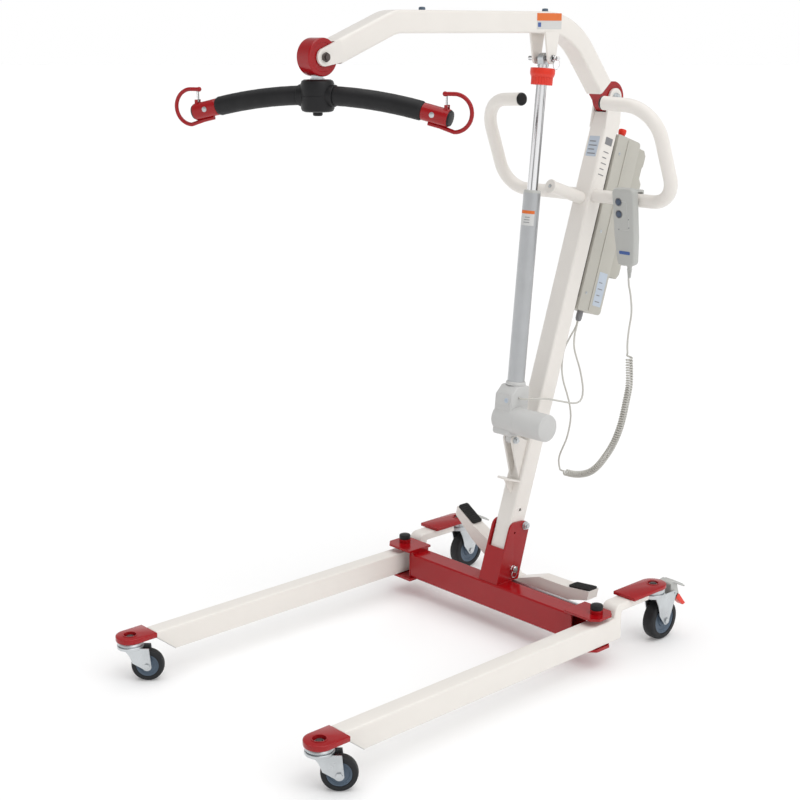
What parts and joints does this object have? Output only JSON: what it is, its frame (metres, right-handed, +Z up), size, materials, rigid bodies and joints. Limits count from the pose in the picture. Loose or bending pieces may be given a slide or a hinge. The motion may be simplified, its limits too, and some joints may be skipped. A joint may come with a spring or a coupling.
{
  "type": "patient lift hoist",
  "caption": "Mobile patient lift: spreading legs on castors, folding mast, bent boom raised by an electric actuator, and a padded two-point sling bar.",
  "frame": {"origin": "on the floor, midway between the left and right castors, under the mast's foot", "axes": "+Z up; the legs point to -Y, where the lift is open; +X is to the right when looking along +Y"},
  "size_m": [0.7591, 1.3667, 1.4761],
  "materials": {
    "white_paint": "gloss powder coat",
    "red_paint": "gloss powder coat",
    "zinc": "bright zinc plate",
    "chrome": "polished",
    "aluminium": "satin anodised",
    "black_plastic": "satin",
    "black_rubber": "matte",
    "black_foam": "matte foam grip",
    "tyre": "moulded tread on a blue-grey hub",
    "grey_plastic": "fine moulded texture",
    "beige_plastic": "fine moulded texture",
    "battery_plastic": "fine moulded texture",
    "red_plastic": "gloss",
    "button_plastic": "satin",
    "cord_grey": "satin sheath"
  },
  "bodies": {
    "base": {"crossbar": "red_paint", "mast_socket": "red_paint", "leg_pivot_bolt_right": "black_plastic", "leg_pivot_bolt_left": "black_plastic", "mast_pivot_bolt": "zinc"},
    "lock_pin": {"mast_lock_pin": "zinc"},
    "pedal": {"spreader_pedal": "white_paint", "pedal_pad_right": "black_rubber", "pedal_pad_left": "black_rubber"},
    "leg_right": {"leg_right": "white_paint", "front_plate_right": "red_paint", "rear_plate_right": "red_paint"},
    "tie_rod_right": {"tie_rod_right": "zinc"},
    "fork_front_right": {"castor_fork_front_right": "zinc"},
    "wheel_front_right": {"wheel_front_right": "tyre"},
    "fork_rear_right": {"castor_fork_rear_right": "zinc"},
    "wheel_rear_right": {"wheel_rear_right": "tyre"},
    "brake_right": {"brake_pedal_right": "grey_plastic"},
    "leg_left": {"leg_left": "white_paint", "front_plate_left": "red_paint", "rear_plate_left": "red_paint"},
    "tie_rod_left": {"tie_rod_left": "zinc"},
    "fork_front_left": {"castor_fork_front_left": "zinc"},
    "wheel_front_left": {"wheel_front_left": "tyre"},
    "fork_rear_left": {"castor_fork_rear_left": "zinc"},
    "wheel_rear_left": {"wheel_rear_left": "tyre"},
    "brake_left": {"brake_pedal_left": "grey_plastic"},
    "mast": {"mast_tube": "white_paint", "handlebar": "white_paint", "handle_plug_right": "black_plastic", "handle_plug_left": "black_plastic", "boom_hinge_bolt": "zinc", "actuator_lower_pin": "zinc", "control_box": "beige_plastic", "battery": "battery_plastic", "handset": "grey_plastic", "handset_lead": "cord_grey", "handset_coil": "cord_grey", "handset_tail": "cord_grey", "motor_cable": "cord_grey"},
    "e_stop": {"e_stop": "red_plastic"},
    "button_up": {"button_up": "button_plastic"},
    "button_down": {"button_down": "button_plastic"},
    "actuator": {"actuator_housing": "grey_plastic", "actuator_outer_tube": "aluminium"},
    "rod": {"actuator_rod": "chrome"},
    "collar": {"release_collar": "red_plastic"},
    "boom": {"boom_tube": "white_paint", "boom_hinge_drum": "red_paint", "boom_tip_bolt": "zinc", "actuator_top_pin": "zinc"},
    "cradle": {"cradle_drum": "red_paint"},
    "spreader": {"spreader_bar": "zinc", "hub_cover": "black_plastic", "foam_right": "black_foam", "foam_left": "black_foam", "sling_hook_right": "red_paint", "sling_hook_left": "red_paint"},
    "latch_right": {"hook_latch_right": "chrome"},
    "latch_left": {"hook_latch_left": "chrome"}
  },
  "joints": [
    {"name": "lock_pin_pull", "type": "slide", "parent": "base", "child": "lock_pin", "axis": [1, 0, 0], "range_m": [0, 0.018], "stiffness_N_per_m": 600, "springref_m": -0.002},
    {"name": "leg_spread_right", "type": "hinge", "parent": "base", "child": "leg_right", "pos_m": [0.325, 0.18, 0.08], "axis": [0, 0, 1], "range_deg": [0, 12]},
    {"name": "leg_spread_left", "type": "hinge", "parent": "base", "child": "leg_left", "pos_m": [-0.325, 0.18, 0.08], "axis": [0, 0, -1], "range_deg": [0, 12]},
    {"name": "pedal_rock", "type": "hinge", "parent": "base", "child": "pedal", "pos_m": [0, 0.247, 0.092], "axis": [0, 1, 0], "range_deg": [-26.5, 0.1]},
    {"name": "tie_rod_slide_right", "type": "slide", "parent": "base", "child": "tie_rod_right", "axis": [-1, 0, 0], "range_m": [-0.0002, 0.0082]},
    {"name": "tie_rod_slide_left", "type": "slide", "parent": "base", "child": "tie_rod_left", "axis": [1, 0, 0], "range_m": [-0.0002, 0.0082]},
    {"name": "castor_swivel_front_right", "type": "hinge", "parent": "leg_right", "child": "fork_front_right", "pos_m": [0.335, -0.655, 0.085], "axis": [0, 0, 1], "continuous": true},
    {"name": "wheel_spin_front_right", "type": "hinge", "parent": "fork_front_right", "child": "wheel_front_right", "pos_m": [0.36072, -0.62703, 0.0375], "axis": [-0.7361, 0.6769, 0], "continuous": true},
    {"name": "castor_swivel_rear_right", "type": "hinge", "parent": "leg_right", "child": "fork_rear_right", "pos_m": [0.33, 0.381, 0.125], "axis": [0, 0, 1], "range_deg": [-110, 110]},
    {"name": "wheel_spin_rear_right", "type": "hinge", "parent": "fork_rear_right", "child": "wheel_rear_right", "pos_m": [0.33, 0.413, 0.05], "axis": [1, 0, 0], "continuous": true},
    {"name": "brake_press_right", "type": "hinge", "parent": "fork_rear_right", "child": "brake_right", "pos_m": [0.33, 0.443, 0.112], "axis": [-1, 0, 0], "range_deg": [0, 8]},
    {"name": "castor_swivel_front_left", "type": "hinge", "parent": "leg_left", "child": "fork_front_left", "pos_m": [-0.335, -0.655, 0.085], "axis": [0, 0, 1], "continuous": true},
    {"name": "wheel_spin_front_left", "type": "hinge", "parent": "fork_front_left", "child": "wheel_front_left", "pos_m": [-0.30928, -0.62703, 0.0375], "axis": [-0.7361, 0.6769, 0], "continuous": true},
    {"name": "castor_swivel_rear_left", "type": "hinge", "parent": "leg_left", "child": "fork_rear_left", "pos_m": [-0.33, 0.381, 0.125], "axis": [0, 0, 1], "range_deg": [-110, 110]},
    {"name": "wheel_spin_rear_left", "type": "hinge", "parent": "fork_rear_left", "child": "wheel_rear_left", "pos_m": [-0.33, 0.413, 0.05], "axis": [1, 0, 0], "continuous": true},
    {"name": "brake_press_left", "type": "hinge", "parent": "fork_rear_left", "child": "brake_left", "pos_m": [-0.33, 0.443, 0.112], "axis": [-1, 0, 0], "range_deg": [0, 8]},
    {"name": "mast_fold", "type": "hinge", "parent": "base", "child": "mast", "pos_m": [0, 0.254, 0.247], "axis": [1, 0, 0], "range_deg": [0, 60]},
    {"name": "boom_lift", "type": "hinge", "parent": "mast", "child": "boom", "pos_m": [0, 0.551, 1.27], "axis": [-1, 0, 0], "range_deg": [-50, 5]},
    {"name": "actuator_tilt", "type": "hinge", "parent": "mast", "child": "actuator", "pos_m": [0, 0.2295, 0.466], "axis": [-1, 0, 0], "range_deg": [-1, 3]},
    {"name": "rod_extend", "type": "slide", "parent": "actuator", "child": "rod", "axis": [0, 0.0952, 0.9955], "range_m": [-0.2125, 0.022]},
    {"name": "collar_turn", "type": "hinge", "parent": "rod", "child": "collar", "pos_m": [0, 0.31139, 1.32209], "axis": [0, 0.0952, 0.9955], "range_deg": [0, 90]},
    {"name": "cradle_swing", "type": "hinge", "parent": "boom", "child": "cradle", "pos_m": [0, -0.362, 1.376], "axis": [1, 0, 0], "range_deg": [-80, 15]},
    {"name": "spreader_turn", "type": "hinge", "parent": "cradle", "child": "spreader", "pos_m": [0, -0.362, 1.3], "axis": [0, 0, 1], "continuous": true},
    {"name": "latch_open_right", "type": "hinge", "parent": "spreader", "child": "latch_right", "pos_m": [0.25776, -0.24885, 1.2845], "axis": [-0.4019, 0.9157, 0], "range_deg": [0, 38], "stiffness_Nm_per_rad": 0.02, "springref_deg": -11.46},
    {"name": "latch_open_left", "type": "hinge", "parent": "spreader", "child": "latch_left", "pos_m": [-0.25776, -0.47515, 1.2845], "axis": [0.4019, -0.9157, 0], "range_deg": [0, 38], "stiffness_Nm_per_rad": 0.02, "springref_deg": -11.46},
    {"name": "e_stop_press", "type": "slide", "parent": "mast", "child": "e_stop", "axis": [0, -0.3108, -0.9505], "range_m": [0, 0.004], "stiffness_N_per_m": 800, "springref_m": -0.001},
    {"name": "button_up_press", "type": "slide", "parent": "mast", "child": "button_up", "axis": [0, 0.9925, 0.1219], "range_m": [0, 0.0015], "stiffness_N_per_m": 500, "springref_m": -0.0005},
    {"name": "button_down_press", "type": "slide", "parent": "mast", "child": "button_down", "axis": [0, 0.9925, 0.1219], "range_m": [0, 0.0015], "stiffness_N_per_m": 500, "springref_m": -0.0005}
  ],
  "couplings": [
    {"joint": "leg_spread_left", "follows": "leg_spread_right", "ratio": 1},
    {"joint": "pedal_rock", "follows": "leg_spread_right", "ratio": -2.2},
    {"joint": "tie_rod_slide_right", "follows": "leg_spread_right", "m_per_rad": 0.0377},
    {"joint": "tie_rod_slide_left", "follows": "leg_spread_right", "m_per_rad": 0.0377},
    {"joint": "actuator_tilt", "follows": "boom_lift", "ratio": -0.0526},
    {"joint": "rod_extend", "follows": "boom_lift", "m_per_rad": 0.2424}
  ]
}
